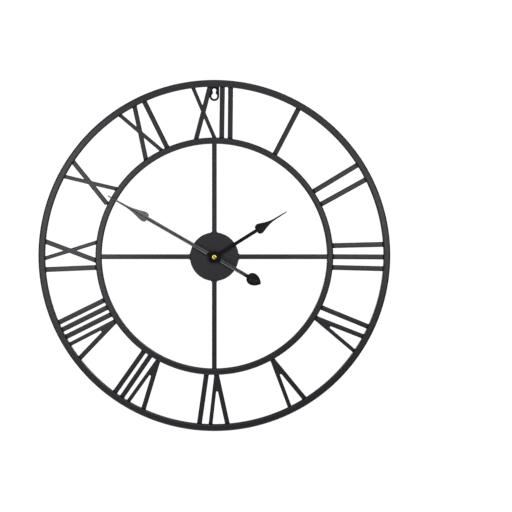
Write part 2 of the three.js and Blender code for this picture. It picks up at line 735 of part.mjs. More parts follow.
// ---------- assembly ----------
piece("outer_ring", squareRing(RING.outer, OUTER_RING_INSIDE, 96), MATERIAL.powderCoat);
piece("inner_ring", squareRing(RING.inner, INNER_RING_INSIDE, 72), MATERIAL.powderCoat);
const SPOKES = { spoke_top: 0, spoke_right: 90, spoke_bottom: 180, spoke_left: 270 };
for (const [name, clockAngle] of Object.entries(SPOKES)) addSpoke(name, clockAngle);
addCentrePlate();
addHanger();
for (const [hour, strokes] of Object.entries(NUMERALS)) addNumeral(Number(hour), strokes);
addCase();
addFixing();
addBattery();
addTrainPlate();
addMotor();
addCircuit();
addRotor();
addIntermediateWheel();
addSecondWheel();
addThirdWheel();
addCentreWheel();
addReverseWheel();
addHourWheel();
addSettingKnob();
addHands();

// +Z up, with the dial facing -Y and the wall at y = 0
dial.rotation.x = Math.PI / 2;
const clock = new THREE.Group();
clock.add(dial);
export default clock;
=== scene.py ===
import json
from math import acos, asin, atan2, cos, exp, hypot, pi, radians, sin, sqrt, tan

import bmesh
import bpy
from mathutils import Matrix, Vector


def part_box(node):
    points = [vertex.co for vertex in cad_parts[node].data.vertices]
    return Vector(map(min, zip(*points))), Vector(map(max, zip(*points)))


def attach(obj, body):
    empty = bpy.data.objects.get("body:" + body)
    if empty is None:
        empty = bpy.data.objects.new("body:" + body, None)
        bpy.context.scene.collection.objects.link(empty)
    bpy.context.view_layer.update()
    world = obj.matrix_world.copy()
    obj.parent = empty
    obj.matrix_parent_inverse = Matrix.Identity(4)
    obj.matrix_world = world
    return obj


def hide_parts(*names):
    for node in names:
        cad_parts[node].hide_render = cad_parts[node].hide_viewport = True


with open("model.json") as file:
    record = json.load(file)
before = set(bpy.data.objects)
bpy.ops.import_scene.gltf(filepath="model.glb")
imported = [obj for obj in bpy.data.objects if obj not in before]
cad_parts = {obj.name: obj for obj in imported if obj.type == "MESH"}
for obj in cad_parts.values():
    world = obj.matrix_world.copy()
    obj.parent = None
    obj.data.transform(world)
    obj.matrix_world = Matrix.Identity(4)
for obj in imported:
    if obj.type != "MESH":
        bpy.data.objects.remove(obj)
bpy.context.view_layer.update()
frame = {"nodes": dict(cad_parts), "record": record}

MM = 0.001
SAME_POINT = 2e-6  # points closer than this, in metres, are one
NOISE_RANGE = (0.3, 0.7)  # nearly all values of the noise texture lie between these

# ---------- driving dimensions, in mm ----------
OUTER_BAR = 10.7  # width of the outer ring's bar
INNER_BAR = 10.2  # width of the inner ring's bar
COAT = 0.3  # how far the coated pieces stand out round the bare metal's outline
OUTER_COAT = 1.5 * COAT  # the same on the outer ring,
SPOKE_COAT = 2 * COAT  # on each side of a spoke
HANGER_COAT = 0.4  # and on the hanger
RING_CORNER = 2.6  # rounding of the rings' edges
NUMERAL_EDGE = 1.6  # rounding of the numerals' edges, which also leaves a groove where they meet a ring
NOTCH = {"v": 1.9, "x": 0.8, "i": 0.8}  # rounding of the numerals' inside corners, of which an I has none
NEAR_RING = 2  # a numeral's corners that lie this close to a ring are moved onto it
AT_END = 0.1  # a numeral's corners that lie this close to where it ends belong to its end
INTO_RING = 1.2  # how far the numerals run into the outer ring's weld
SQUARE_CUT = 4.5  # how far the one square cut goes back along a numeral's sides
WELD_BEAD = 1.6  # how far the weld beads, and the painted shade that their dark coat carries, reach out of a ring along the numerals
BEAD_OUT = 0.2  # how far the beads stand out of a numeral's front and back
BEAD_COAT = COAT + 0.1  # and how far round its outline
BEAD_EDGE = 0.5  # rounding of the beads' edges
SPOKE_CORNER = 2.0  # rounding of the spokes' edges
SPOKE_INTO_RING = 0.8  # how far the spokes run into the inner ring
SPOKE_INTO_PLATE = 0.6  # how far the spokes and their welds run into the centre plate
PLATE_FILLET = 3.6  # weld between the centre plate and a spoke
BUSH_HOLE = 4.3  # radius of the hole for the bush in the plate, the case and the washers

KEYHOLE = {"head": 5.2, "head_y": 273.3, "shank": 3.6, "shank_y": 283.1, "neck": 5.2}

REST = {"minute": 300, "hour": 57.9}  # clock angles of the hands
# Distances along a hand count from its axis. A ridge runs along each hand: crest is its height beside the
# boss and at the spade, slope its sides' angle in degrees, and nose where it begins and is fully there.
MINUTE_HAND = {"arm": 5.7, "boss": 10, "base": 131.3, "widest": 16.5, "lobe": 6.3,
               "needle_start": 176.5, "needle": 2.9, "tip": 208.8,
               "slope": 15, "crest": (0.68, 1.5), "nose": (11.8, 13.2), "bore": 2.05}
HOUR_HAND = {"arm": 5.4, "boss": 9.5, "base": 84.7, "widest": 17.3, "lobe": 5.9,
             "needle_start": 124.4, "needle": 2.2, "tip": 145.7,
             "slope": 3, "crest": (0.35, 0.4), "nose": (10.8, 12.2), "bore": 3.9}
LEAF = {"base": 65.4, "widest": 20.4, "lobe": 9.6, "tip": 91.5}
CREST = 0.6  # half the width of the flat top of a hand's ridge
HAND_EDGE = 0.22  # rounding of a hand's edges
NARROW = 0.3  # the most that the flat top and the rounding take of half the width of a hand
EDGE_POINT = 0.3  # the rounding has one point between its ends, in by this share of it and down as far
MOST_COAT = 0.45  # the most that the coat adds to half the width of a hand, as a share of it
POINT = 0.05  # half the width of a hand at its points

# How far the handles of the curves round a spade and a leaf reach from the curves' ends.
SPADE_CURVE = {"out": 3.2, "back": 0.8, "below": 3.1, "above": 5.6, "needle": 18.4}
LEAF_CURVE = {"point": (6, 3.7), "below": 6.3, "above": 4.7, "out": 3.7}
# The leaf's relief. The side veins start along the midrib, first is how far from the leaf's base, and each
# pair is shorter than the one before. share is their height as a part of the midrib's.
VEINS = {"midrib": 0.7, "pairs": 4, "first": 4, "apart": 4.4, "slant": 0.75, "width": 0.62, "share": 0.8,
         "reach": 7.5, "shorter": 1.1, "fade": 2, "height": 0.22}
LEAF_RIM = {"base": (2.5, 4.5), "tip": (5.5, 3.5)}  # between these the relief comes up, from either end
RIDGE_END = (7, 1)  # on the tail the ridge goes down between these distances from the leaf

CASE = {"half": 28, "corner": 4, "wall": 1.5, "front_wall": 1.4, "cover": 1.6}  # half is half its width
BAY = {"half": 26.5, "bottom": -26.3, "top": -11.1}  # the battery's bay
WHEEL_FLOOR = -9.9  # the lower end of the wheels' compartment
REVERSE_ARBOR = (9.6, 0)  # the setting knob's axis
ARBORS = ((0, 0), (-8.8, 0), (0, 9.03), (2.7, 13.7065))  # the other axes that the cover has a boss for
BATTERY = {"radius": 7.1, "body": 49.2, "nub": 1.3, "nub_radius": 2.7, "y": -18.8, "depth": 7.6,
           "collar": 13, "rim": 0.7}
HEX = 13 / sqrt(3)  # from the hexagon nut's axis to its corners
PAST = 1  # how far the cutters reach past what they cut

# Distances in metres, the elevation in degrees, the lens and its sensor in mm.
CAMERA = {"distance": 2.508, "elevation": 3.62, "target_y": -0.020, "lens": 103.2, "sensor": 36,
          "shift": (0.0814, 0.0014)}


# ---------- camera ----------
def add_camera():
    """A camera in front of the clock and a little above its middle, which it looks at."""
    camera = bpy.data.objects.new("camera", bpy.data.cameras.new("camera"))
    bpy.context.scene.collection.objects.link(camera)
    rise = radians(CAMERA["elevation"])
    reach = CAMERA["distance"]
    camera.location = (0, CAMERA["target_y"] - reach * cos(rise), reach * sin(rise))
    camera.rotation_euler = (pi / 2 - rise, 0, 0)
    camera.data.lens = CAMERA["lens"]
    camera.data.sensor_width = CAMERA["sensor"]
    camera.data.shift_x, camera.data.shift_y = CAMERA["shift"]
    bpy.context.scene.camera = camera


# ---------- geometry helpers ----------
def at(x, y, depth):
    """A point in dial coordinates, in mm, as a point of the frame, in metres."""
    return Vector((x * MM, -depth * MM, y * MM))


def polar(radius, degrees_from_x, centre=(0, 0)):
    """A point on a circle, counted anticlockwise from the right."""
    a = radians(degrees_from_x)
    return (centre[0] + radius * cos(a), centre[1] + radius * sin(a))


def turn(point, clock_angle):
    """A point (x, y) drawn at 12 o'clock, turned clockwise."""
    a = radians(clock_angle)
    x, y = point
    return (x * cos(a) + y * sin(a), y * cos(a) - x * sin(a))


def arc(centre, radius, start, end, steps):
    """Points along a circle from one angle to another."""
    return [polar(radius, start + (end - start) * i / steps, centre) for i in range(steps + 1)]


def bezier(p0, p1, p2, p3, steps):
    """Points along the curve from p0 to p3 with the handles p1 and p2."""
    points = []
    for i in range(steps + 1):
        t = i / steps
        s = 1 - t
        weights = (s * s * s, 3 * s * s * t, 3 * s * t * t, t * t * t)
        points.append(tuple(sum(w * p[k] for w, p in zip(weights, (p0, p1, p2, p3))) for k in (0, 1)))
    return points


def rounded_box(x0, y0, x1, y1, radius, steps=5):
    """The outline of a rectangle with quarter-round corners."""
    corners = [(x1 - radius, y0 + radius, -90), (x1 - radius, y1 - radius, 0),
               (x0 + radius, y1 - radius, 90), (x0 + radius, y0 + radius, 180)]
    return [p for x, y, start in corners for p in arc((x, y), radius, start, start + 90, steps)]


def circle(radius, centre=(0, 0), steps=64):
    """A whole circle's outline."""
    return arc(centre, radius, 0, 360, steps)[:-1]


def tidy(mesh):
    """Joins a mesh's double points and turns its faces outwards."""
    bm = bmesh.new()
    bm.from_mesh(mesh)
    bmesh.ops.remove_doubles(bm, verts=bm.verts, dist=SAME_POINT)
    bmesh.ops.dissolve_degenerate(bm, edges=bm.edges, dist=SAME_POINT / 2)
    bmesh.ops.recalc_face_normals(bm, faces=bm.faces)
    bm.to_mesh(mesh)
    bm.free()


def piece(name, mesh, slot, body="clock_frame", instead_of=(), sharp=35):
    """A finished piece: smooth shading, a material, the body that it moves with and what it stands for."""
    tidy(mesh)
    mesh.shade_smooth()
    mesh.set_sharp_from_angle(angle=radians(sharp))
    made = bpy.data.objects.new(name, mesh)
    bpy.context.scene.collection.objects.link(made)
    mesh.materials.clear()
    mesh.materials.append(MATERIAL[slot])
    weighted = made.modifiers.new("even shading", "WEIGHTED_NORMAL")
    weighted.keep_sharp = True
    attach(made, body)
    if instead_of:
        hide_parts(*instead_of)
    return made


def mesh_of(name, points, faces):
    """A mesh from dial coordinates."""
    mesh = bpy.data.meshes.new(name)
    mesh.from_pydata([at(*p) for p in points], [], faces)
    return mesh


def prism(name, low, high):
    """A solid between two outlines with as many points."""
    count = len(low)
    faces = [(k, (k + 1) % count, count + (k + 1) % count, count + k) for k in range(count)]
    faces += [tuple(reversed(range(count))), tuple(range(count, 2 * count))]
    return mesh_of(name, low + high, faces)


def join_meshes(name, meshes):
    """One mesh made of several, which are removed."""
    bm = bmesh.new()
    for mesh in meshes:
        bm.from_mesh(mesh)
        bpy.data.meshes.remove(mesh)
    joined = bpy.data.meshes.new(name)
    bm.to_mesh(joined)
    bm.free()
    return joined


def lathe(name, profile, segments, centre=(0, 0), across=False):
    """A closed profile of (radius, depth) points turned round an axis out of the wall, or round x."""
    points, faces = [], []
    count = len(profile)
    for i in range(segments):
        a = 2 * pi * i / segments
        for radius, along in profile:
            if across:
                points.append((along, centre[0] + radius * cos(a), centre[1] + radius * sin(a)))
            else:
                points.append((centre[0] + radius * cos(a), centre[1] + radius * sin(a), along))
    for i in range(segments):
        j = (i + 1) % segments
        for k in range(count):
            m = (k + 1) % count
            faces.append((i * count + k, j * count + k, j * count + m, i * count + m))
    return mesh_of(name, points, faces)


def plate(name, loops, back, front, edge=0.4, steps=2, grow=0.0):
    """A flat piece between two depths, with rounded edges: the first loop is its outline, the rest holes.
    It grows by so much round its outline."""
    curve = bpy.data.curves.new(name, "CURVE")
    curve.dimensions = "2D"
    curve.fill_mode = "BOTH"
    curve.extrude = ((front - back) / 2 - edge) * MM
    curve.bevel_depth = edge * MM
    curve.bevel_resolution = steps
    curve.offset = (grow - edge) * MM
    for loop in loops:
        spline = curve.splines.new("POLY")
        spline.points.add(len(loop) - 1)
        spline.use_cyclic_u = True
        for point, (x, y) in zip(spline.points, loop):
            point.co = (x * MM, y * MM, 0, 1)
    drawn = bpy.data.objects.new(name, curve)
    bpy.context.scene.collection.objects.link(drawn)
    graph = bpy.context.evaluated_depsgraph_get()
    mesh = bpy.data.meshes.new_from_object(drawn.evaluated_get(graph))
    bpy.data.objects.remove(drawn)
    bpy.data.curves.remove(curve)
    upright = Matrix.Rotation(pi / 2, 4, "X")
    mesh.transform(Matrix.Translation(at(0, 0, (back + front) / 2)) @ upright)
    tidy(mesh)
    return mesh


def rod(radius, back, front, steps=48):
    """A round rod along the hands' axis."""
    return lathe("rod", [(0, back), (radius, back), (radius, front), (0, front)], steps)


def carve(mesh, cutters, operation="DIFFERENCE"):
    """Cuts meshes out of a mesh, one after the other."""
    carved = bpy.data.objects.new("carved", mesh)
    bpy.context.scene.collection.objects.link(carved)
    tools = []
    for cutter in cutters:
        tidy(cutter)
        tool = bpy.data.objects.new("cutter", cutter)
        bpy.context.scene.collection.objects.link(tool)
        cut = carved.modifiers.new("cut", "BOOLEAN")
        cut.object = tool
        cut.operation = operation
        cut.solver = "EXACT"
        tools.append(tool)
    bpy.context.view_layer.update()
    graph = bpy.context.evaluated_depsgraph_get()
    result = bpy.data.meshes.new_from_object(carved.evaluated_get(graph))
    for made in tools + [carved]:
        bpy.data.objects.remove(made)
    tidy(result)
    return result


def front_outline(node):
    """The outline of a flat CAD piece's front face, in dial coordinates."""
    bm = bmesh.new()
    bm.from_mesh(frame["nodes"][node].data)
    bmesh.ops.remove_doubles(bm, verts=bm.verts, dist=SAME_POINT)
    bmesh.ops.dissolve_limit(bm, angle_limit=radians(0.5), verts=bm.verts, edges=bm.edges)
    front = max((f for f in bm.faces if f.normal.y < -0.99), key=lambda f: f.calc_area())
    outline = [(v.co.x / MM, v.co.z / MM) for v in front.verts]
    bm.free()
    return outline


def sharp_notch(outline, shortest=3):
    """Puts one corner in the place of three points that round off a notch, two short edges apart."""
    points = [Vector(p) for p in outline]
    count = len(points)
    for i in range(count):
        ahead = [points[(i + k) % count] for k in range(-1, 4)]
        if max((ahead[2] - ahead[1]).length, (ahead[3] - ahead[2]).length) < shortest:
            along, other = ahead[1] - ahead[0], ahead[4] - ahead[3]
            corner = ahead[0] + along * (ahead[3] - ahead[0]).cross(other) / along.cross(other)
            kept = [outline[(i + k) % count] for k in range(3, count)]
            return [tuple(corner)] + kept
    return outline


def round_notches(outline, radius, steps=8):
    """Replaces each inside corner of an outline by an arc."""
    area = sum(x0 * y1 - x1 * y0 for (x0, y0), (x1, y1) in zip(outline, outline[1:] + outline[:1]))
    rounded = []
    for i, (x, y) in enumerate(outline):
        before = Vector(outline[i - 1]) - Vector((x, y))
        after = Vector(outline[(i + 1) % len(outline)]) - Vector((x, y))
        cross = after.x * before.y - after.y * before.x
        if cross * area > 0:
            rounded.append((x, y))
            continue
        half = before.angle(after) / 2
        middle = (before.normalized() + after.normalized()).normalized()
        centre = Vector((x, y)) + middle * radius / sin(half)
        start = Vector((x, y)) + before.normalized() * radius / tan(half) - centre
        end = Vector((x, y)) + after.normalized() * radius / tan(half) - centre
        sweep = atan2(start.x * end.y - start.y * end.x, start.dot(end))
        for k in range(steps + 1):
            a = sweep * k / steps
            c, s = cos(a), sin(a)
            rounded.append((centre.x + start.x * c - start.y * s, centre.y + start.x * s + start.y * c))
    return rounded


def span(node):
    """A node's lowest and highest depth, in mm."""
    low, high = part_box(node)
    return -high.y / MM, -low.y / MM


# ---------- materials ----------
def procedural(name, dark, light, rough, patch=30, grain=900, bump=0.1, depth=0.1, metallic=0.0, **fixed):
    """A material whose colour drifts in patches and its roughness in finer ones, with a fine relief. patch
    and grain are features per metre, depth is the relief's height in mm and rough is a range."""
    made = bpy.data.materials.new(name)
    made.use_nodes = True
    nodes, links = made.node_tree.nodes, made.node_tree.links
    shader = nodes["Principled BSDF"]
    shader.inputs["Metallic"].default_value = metallic
    for socket, value in fixed.items():
        shader.inputs[socket.replace("_", " ")].default_value = value
    where = nodes.new("ShaderNodeTexCoord").outputs["Object"]

    def noise(scale, detail):
        texture = nodes.new("ShaderNodeTexNoise")
        texture.inputs["Scale"].default_value = scale
        texture.inputs["Detail"].default_value = detail
        links.new(where, texture.inputs["Vector"])
        return texture.outputs["Fac"]

    colour = nodes.new("ShaderNodeMix")
    colour.data_type = "RGBA"
    colour.inputs[6].default_value = (*dark, 1)
    colour.inputs[7].default_value = (*light, 1)
    links.new(noise(patch, 3), colour.inputs[0])
    links.new(colour.outputs[2], shader.inputs["Base Color"])
    spread = nodes.new("ShaderNodeMapRange")
    spread.inputs["From Min"].default_value, spread.inputs["From Max"].default_value = NOISE_RANGE
    spread.inputs["To Min"].default_value, spread.inputs["To Max"].default_value = rough
    links.new(noise(patch * 5, 4), spread.inputs["Value"])
    links.new(spread.outputs["Result"], shader.inputs["Roughness"])
    relief = nodes.new("ShaderNodeBump")
    relief.inputs["Strength"].default_value = bump
    relief.inputs["Distance"].default_value = depth * MM
    links.new(noise(grain, 2), relief.inputs["Height"])
    links.new(relief.outputs["Normal"], shader.inputs["Normal"])
    return made


def grey(value, tint=0.0):
    """A grey colour, with so much more blue."""
    return (value, value, value + tint)


def make_materials():
    """All materials, each with its dark and its light colour and its range of roughness."""
    return {
        "powder_coat": procedural("powder coat", (0.0205, 0.0195, 0.0260), (0.0245, 0.0235, 0.0300),
                                  (0.40, 0.44), grain=1600, bump=0.03, depth=0.02),
        # The weld beads are real, but their near-black, dull coat is painted shade: it stands in for the
        # contact shadow where the numerals meet the rings.
        "weld_painted_shade": procedural("welds darkened with painted shade", grey(0.003), grey(0.009), (0.6, 0.75), grain=700,
                                bump=0.3, Specular_IOR_Level=0.25),
        "hanger_coat": procedural("black hanger coat", grey(0.002), grey(0.005), (0.5, 0.65), grain=800,
                                  Specular_IOR_Level=0.3),
        "hand_coat": procedural("black satin paint", grey(0.004), grey(0.005, 0.0005), (0.25, 0.29),
                                grain=900, bump=0.01, Specular_Tint=(0.92, 0.91, 1.0, 1)),
        "brass": procedural("brass", (0.97, 0.78, 0.12), (1.0, 0.86, 0.20), (0.30, 0.36), grain=2500,
                            bump=0.03, depth=0.02, metallic=1.0),
        "rubber": procedural("rubber", grey(0.010), grey(0.018), (0.75, 0.9), grain=1800, bump=0.3),
        "case_plastic": procedural("moulded black plastic", grey(0.016), grey(0.021), (0.36, 0.48),
                                   grain=2600, bump=0.35, depth=0.05),
        "wheel_plastic": procedural("acetal", (0.72, 0.70, 0.62), (0.80, 0.78, 0.70), (0.4, 0.5),
                                    bump=0.05),
        "battery_sleeve": procedural("battery sleeve", (0.02, 0.05, 0.13), (0.03, 0.07, 0.17),
                                     (0.22, 0.30), bump=0.05),
        "battery_collar": procedural("battery collar", (0.55, 0.33, 0.12), (0.62, 0.38, 0.15),
                                     (0.22, 0.30), bump=0.05, metallic=0.6),
        "plated_steel": procedural("plated steel", grey(0.55), grey(0.68), (0.22, 0.36), grain=1500,
                                   bump=0.08, depth=0.03, metallic=1.0),
        "circuit_board": procedural("solder mask", (0.01, 0.07, 0.03), (0.02, 0.11, 0.05), (0.3, 0.45),
                                    patch=300, bump=0.15),
        "copper_wire": procedural("enamelled copper", (0.50, 0.16, 0.06), (0.62, 0.24, 0.10), (0.25, 0.4),
                                  patch=400, bump=0.2, metallic=0.9),
        "magnet": procedural("magnet", grey(0.10), grey(0.16), (0.3, 0.45), metallic=0.8),
    }


# ---------- the welded frame ----------
def ring(node, bar, coat, segments):
    """A ring of round-edged square bar."""
    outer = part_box(node)[1].x / MM
    back, front = span(node)
    section = rounded_box(outer - bar - coat, back, outer + coat, front, RING_CORNER, 8)
    piece(node + "_finished", lathe(node, section, segments), "powder_coat", instead_of=[node])


def add_numerals(nodes):
    """The numerals' bars between the rings, and the weld beads at their ends, whose dull, near-black coat
    is painted shade where the bars meet the rings.
    """
    inner, outer = ring_gap()
    beads = {"inner_ring_welds_painted_shade": [], "outer_ring_welds_painted_shade": []}
    for node in nodes:
        letter = node.split("_")[2][0]
        outline = []
        for x, y in sharp_notch(front_outline(node)):
            radius = hypot(x, y)
            to = radius
            if radius < inner + NEAR_RING:
                to = inner
            elif radius > outer - NEAR_RING:
                to = outer + INTO_RING
            outline.append((x * to / radius, y * to / radius))
        if node == "numeral_10_x":
            outline = square_off(outline, inner)
        back, front = span(node)
        mesh = plate(node, [round_notches(outline, NOTCH[letter])], back, front, NUMERAL_EDGE, 3, COAT)
        piece(node + "_finished", mesh, "powder_coat", instead_of=[node])
        at_inner = [hypot(*p) < inner + AT_END for p in outline]
        at_outer = [hypot(*p) > outer + INTO_RING - AT_END for p in outline]
        beads["inner_ring_welds_painted_shade"] += end_beads(outline, at_inner, WELD_BEAD, back, front)
        beads["outer_ring_welds_painted_shade"] += end_beads(outline, at_outer, WELD_BEAD + INTO_RING, back, front)
    for name, meshes in beads.items():
        # Both sets of beads get the near-black, dull coat, which is painted shade for the contact shadows
        # at the numerals' ends.
        welds = piece(name, join_meshes(name, meshes), "powder_coat")
        welds.data.materials[0] = MATERIAL["weld_painted_shade"]


def end_beads(outline, near, reach, back, front):
    """A bead across each end of a numeral at one ring. near says which of its corners are there."""
    beads = []
    for first, here in enumerate(near):
        if near[first - 1] or not here:
            continue
        last = first
        while near[(last + 1) % len(near)]:
            last += 1
        loop = [outline[i % len(outline)] for i in range(first, last + 1)]
        for i, towards in ((last, last + 1), (first, first - 1)):
            corner = Vector(outline[i % len(outline)])
            side = Vector(outline[towards % len(outline)]) - corner
            loop.append(tuple(corner + side.normalized() * reach))
        beads.append(plate("bead", [loop], back - BEAD_OUT, front + BEAD_OUT, BEAD_EDGE, 3, BEAD_COAT))
    return beads


def square_off(outline, inner):
    """The lower bar of this numeral is cut square, so that its lower corner stops short of the ring."""
    low = min((p for p in outline if hypot(*p) < inner + AT_END), key=lambda p: p[1])
    i = outline.index(low)
    corner = Vector(low)
    sides = [Vector(outline[i - 1]), Vector(outline[(i + 1) % len(outline)])]
    blunt = [tuple(corner + (side - corner).normalized() * SQUARE_CUT) for side in sides]
    return outline[:i] + blunt + outline[i + 1:]


def ring_gap():
    """The inner ring's outer radius and the outer ring's inner radius."""
    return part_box("inner_ring")[1].x / MM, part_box("outer_ring")[1].x / MM - OUTER_BAR


def add_spoke(node, clock_angle):
    """A square bar from the centre plate to the inner ring, with the welds at the plate's rim."""
    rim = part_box("centre_plate")[1].x / MM
    back, front = span(node)
    half = (front - back) / 2 + SPOKE_COAT
    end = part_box("inner_ring")[1].x / MM - INNER_BAR + SPOKE_INTO_RING
    section = rounded_box(-half, back, half, front, SPOKE_CORNER, 6)
    ends = [[(*turn((x, along), clock_angle), depth) for x, depth in section]
            for along in (rim - SPOKE_INTO_PLATE, end)]
    meshes = [prism(node, *ends)]
    for side in (-1, 1):
        meshes.append(spoke_weld(side, clock_angle, rim, half))
    piece(node + "_finished", join_meshes(node, meshes), "powder_coat", instead_of=[node])


def spoke_weld(side, clock_angle, rim, half):
    """The fillet beside a spoke, between its side and the plate's round rim. It reaches into both."""
    f = PLATE_FILLET
    corner = sqrt(rim * rim - half * half)
    centre_x = half + f
    centre_y = sqrt((rim + f) ** 2 - centre_x ** 2)
    touch = Vector((centre_x, centre_y)) * rim / (rim + f)
    start = atan2(touch.y - centre_y, touch.x - centre_x)
    sweep = -pi - start if start < 0 else pi - start
    into = SPOKE_INTO_PLATE
    steps = 8
    # One corner lies where the spoke enters the plate, and one in the plate below the fillet's end.
    outline = [(half - into, corner - into), (touch.x - 0.4, touch.y - 0.8)]
    for k in range(steps + 1):
        a = start + sweep * k / steps
        outline.append((centre_x + f * cos(a), centre_y + f * sin(a)))
    outline.append((half - into, centre_y))
    loop = [turn((side * x, y), clock_angle) for x, y in outline]
    back, front = span("centre_plate")
    return plate("weld", [loop], back + 0.1, front + 0.6, edge=0.3)


def add_centre_plate():
    """The round plate that the movement is screwed to."""
    back, front = span("centre_plate")
    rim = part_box("centre_plate")[1].x / MM
    mesh = plate("centre_plate", [circle(rim, steps=180), circle(BUSH_HOLE, steps=48)], back, front)
    piece("centre_plate_finished", mesh, "powder_coat", instead_of=["centre_plate"])


def add_hanger():
    """The keyhole's plate behind the outer ring. The coat makes its hole narrower."""
    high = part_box("keyhole_hanger")[1]
    half = high.x / MM + HANGER_COAT
    top = high.z / MM
    corner = 2
    back, front = span("keyhole_hanger")
    k = {name: value if name.endswith("_y") else value - HANGER_COAT for name, value in KEYHOLE.items()}
    outline = arc((0, k["head_y"]), half, 180, 360, 28)
    outline += arc((half - corner, top - corner), corner, 0, 90, 5)
    outline += arc((corner - half, top - corner), corner, 90, 180, 5)
    head = 90 + asin(k["neck"] / 2 / k["head"]) * 180 / pi
    shank = asin(k["neck"] / 2 / k["shank"]) * 180 / pi - 90
    hole = arc((0, k["head_y"]), k["head"], head, 540 - head, 36)
    hole += arc((0, k["shank_y"]), k["shank"], shank, 180 - shank, 24)
    mesh = plate("keyhole_hanger", [outline, hole], back, front, edge=0.35)
    piece("keyhole_hanger_finished", mesh, "hanger_coat", instead_of=["keyhole_hanger"])


# ---------- hands ----------
def spade_edge(hand):
    """Half of a hand's outline beyond its boss: (half width, distance along the hand)."""
    half, side, base = hand["arm"] / 2, hand["widest"] / 2, hand["base"]
    widest_at = base + hand["lobe"]
    needle, start = hand["needle"] / 2, hand["needle_start"]
    edge = [(half, along) for along in arm_rows(hand["boss"], half, base)]
    c = SPADE_CURVE
    widest = (side, widest_at)
    edge += bezier((half, base), (half + c["out"], base - c["back"]), (side, widest_at - c["below"]),
                   widest, 14)[1:]
    edge += bezier(widest, (side, widest_at + c["above"]), (needle, start - c["needle"]),
                   (needle, start), 30)[1:]
    tip = hand["tip"]
    taper = 0.55
    blunt = 0.4
    steps = 6
    for i in range(1, steps + 1):
        edge.append((needle * (1 - taper * i / steps), start + (tip - blunt - start) * i / steps))
    return edge + [(POINT, tip)]


def arm_rows(boss, half, end):
    """Distances along an arm from its boss to its end, close together where its ridge begins."""
    start = sqrt(boss ** 2 - half ** 2)
    close = 0.35
    rows = 24
    nose = [start + close * i for i in range(1, 14)]
    return nose + [nose[-1] + (end - nose[-1]) * i / rows for i in range(1, rows + 1)]


def leaf_edge(arm, boss):
    """Half of the minute hand's outline on its tail, from the leaf's point to the boss."""
    half, side = arm / 2, LEAF["widest"] / 2
    base, tip = -LEAF["base"], -LEAF["tip"]
    widest_at = base - LEAF["lobe"]
    c = LEAF_CURVE
    widest = (side, widest_at)
    out, up = c["point"]
    edge = bezier((POINT, tip), (out, tip + up), (side, widest_at - c["below"]), widest, 64)
    edge += bezier(widest, (side, widest_at + c["above"]), (half + c["out"], base), (half, base), 44)[1:]
    return edge + [(half, -along) for along in reversed(arm_rows(boss, half, -base)[:-1])]


def boss_edge(arm, boss, whole):
    """Half of the boss's round outline, and of its tail end too if nothing else is there."""
    start = -90 if whole else -acos(arm / 2 / boss) * 180 / pi
    end = acos(arm / 2 / boss) * 180 / pi
    return [(max(x, POINT), y) for x, y in arc((0, 0), boss, start, end, 40)]


def step(value, start, end):
    """0 before start, 1 after end, and smooth between them."""
    t = min(max((value - start) / (end - start), 0), 1)
    return t * t * (3 - 2 * t)


def flat_top(half):
    """Half the width of the ridge's flat top, where the hand is this wide from its middle to its side."""
    return min(CREST, NARROW * half)


def ridge_height(hand, x, along, half):
    """The sheet is folded along a narrow flat crest, which starts beside the boss and climbs slowly to the
    spade, and on the tail fades out before the leaf."""
    low, high = hand["crest"]
    top = low + (high - low) * step(along, hand["boss"], hand["base"])
    begun = step(hypot(x, along), *hand["nose"])
    before, end = RIDGE_END
    left = 1 - step(-along, LEAF["base"] - before, LEAF["base"] - end)
    return begun * left * (top - max(abs(x) - flat_top(half), 0) * tan(radians(hand["slope"])))


def leaf_relief(x, along):
    """A plain leaf raised on the counterweight: a midrib and pairs of side veins."""
    v = VEINS
    below = -LEAF["base"] - along
    long = LEAF["tip"] - LEAF["base"]
    veins = exp(-(x / v["midrib"]) ** 2)
    for n in range(v["pairs"]):
        start = v["first"] + v["apart"] * n
        off = (below - start - abs(x) * v["slant"]) / hypot(1, v["slant"])
        ends = step(v["reach"] - v["shorter"] * n - abs(x), 0, v["fade"])
        veins += v["share"] * exp(-(off / v["width"]) ** 2) * ends
    before, after = LEAF_RIM["tip"]
    inside = step(below, *LEAF_RIM["base"]) * (1 - step(below, long - before, long - after))
    return v["height"] * min(veins, 1) * inside


def hand_height(hand, x, along, half):
    """How far a hand's front stands out of its flat sheet."""
    if along < -LEAF["base"]:
        return leaf_relief(x, along)
    return ridge_height(hand, x, along, half)


def across_hand(half):
    """How far a hand's edges are rounded, and where its sheet is drawn across its width."""
    inset = min(HAND_EDGE, half * NARROW)
    crest = flat_top(half)
    steps = 14
    side = [crest + (half - inset - crest) * i / steps for i in range(steps + 1)]
    right = side + [half - inset * EDGE_POINT]
    return inset, [-x for x in reversed(right)] + right


